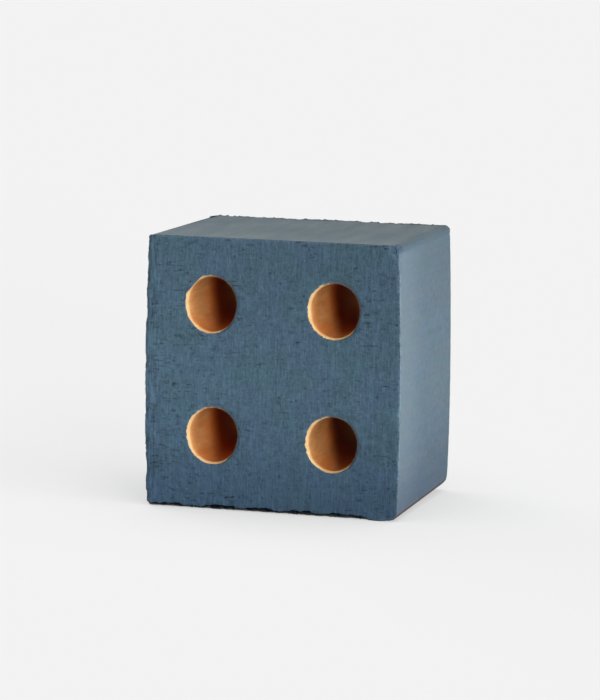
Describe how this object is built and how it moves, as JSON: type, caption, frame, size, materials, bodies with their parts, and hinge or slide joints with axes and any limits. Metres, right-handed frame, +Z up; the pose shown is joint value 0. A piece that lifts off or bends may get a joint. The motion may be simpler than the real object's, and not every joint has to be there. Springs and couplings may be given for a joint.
{
  "type": "cored clay brick",
  "caption": "Half-length wire-cut clay brick with round cores right through it, slate-blue matt coat outside and bare orange clay in the cores, standing on a flat side.",
  "frame": {"origin": "centre of the brick's footprint, on the floor it stands on", "axes": "+Z up, +Y along the cores from the front cut face to the back one, +X across"},
  "size_m": [0.1062, 0.076, 0.11],
  "materials": {
    "coated_clay": "matt slate-blue coat over fired clay, bare orange clay inside the cores"
  },
  "bodies": {
    "root": {"brick": "coated_clay"}
  },
  "joints": []
}
